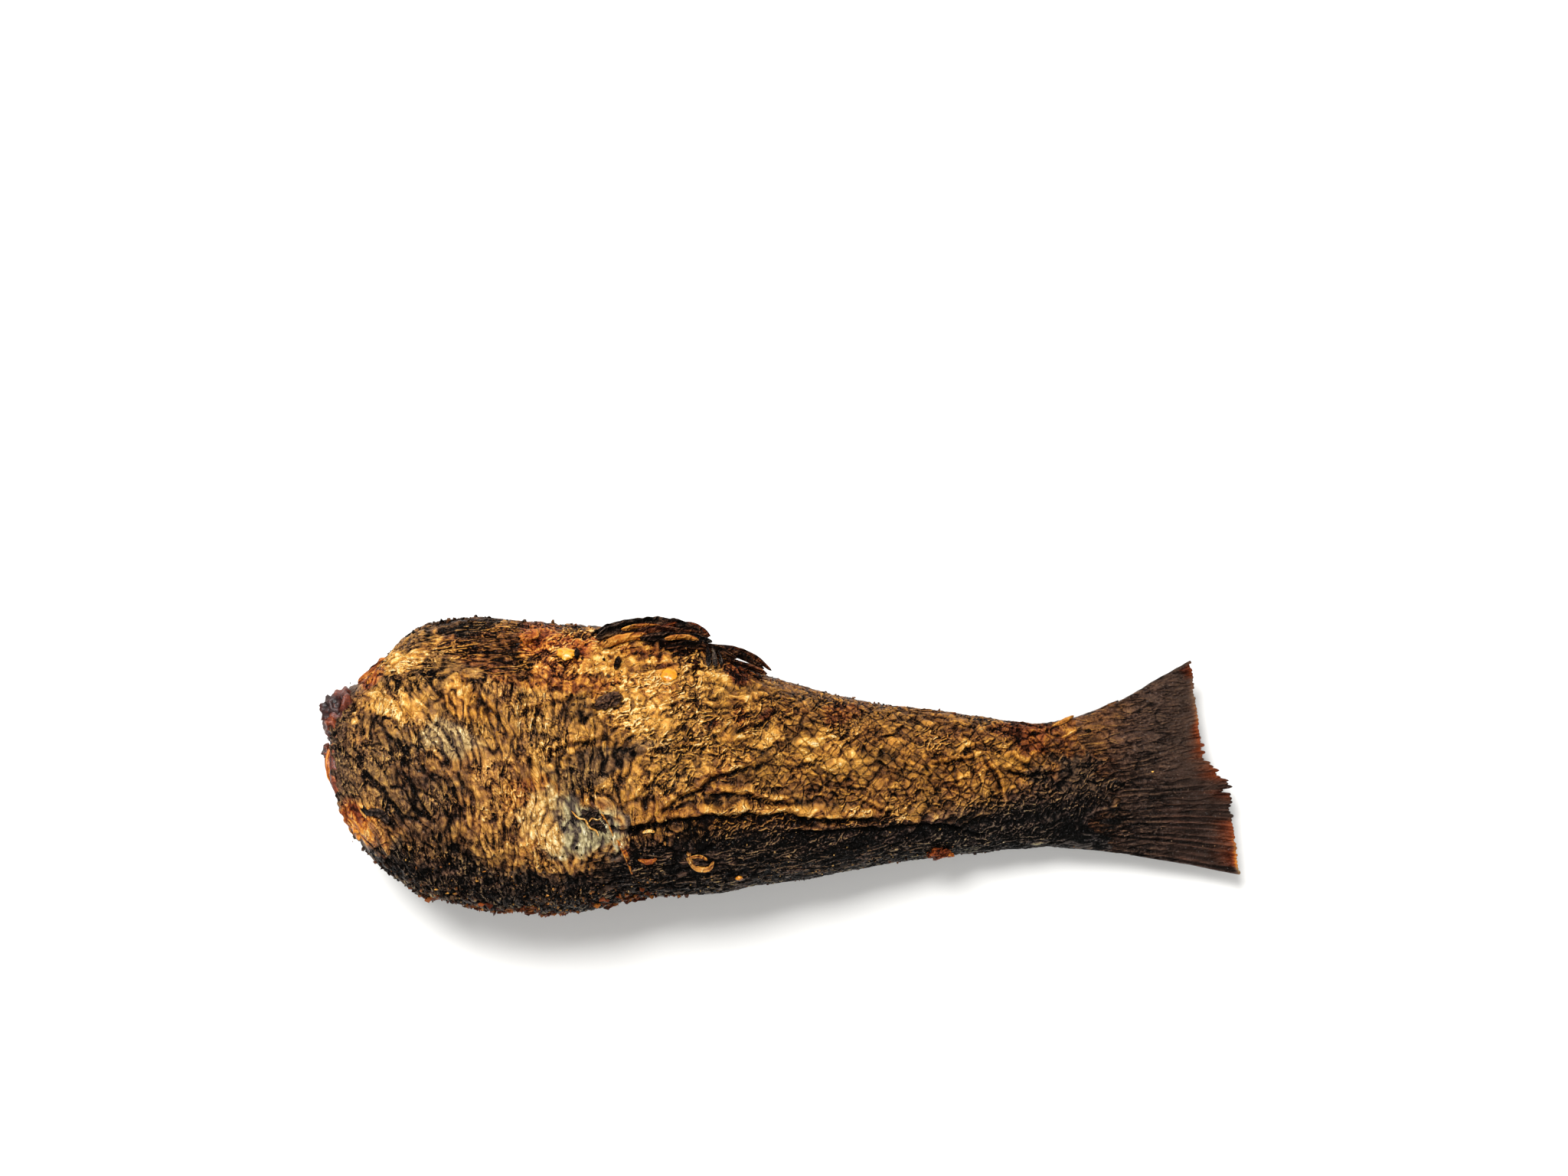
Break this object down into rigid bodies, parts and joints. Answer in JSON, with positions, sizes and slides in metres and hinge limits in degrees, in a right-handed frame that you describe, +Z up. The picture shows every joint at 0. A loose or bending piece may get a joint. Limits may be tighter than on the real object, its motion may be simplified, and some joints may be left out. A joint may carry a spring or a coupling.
{
  "type": "smoked fish tail piece",
  "caption": "Tail end of a whole hot-smoked fish lying on its side, cut across behind the head end, with wrinkled dark skin, a charred belly crest and a spread tail fin.",
  "frame": {"origin": "on the surface that the fish lies on, under the middle of its outline", "axes": "+X from the cut end to the tail fin, +Y from the back to the belly, +Z up out of the upper flank"},
  "size_m": [0.3031, 0.0954, 0.0573],
  "materials": {
    "smoked_skin": "smoke-browned, oily, wrinkled skin, golden on the flank and black along the back"
  },
  "bodies": {
    "root": {"smoked_fish": "smoked_skin"}
  },
  "joints": []
}
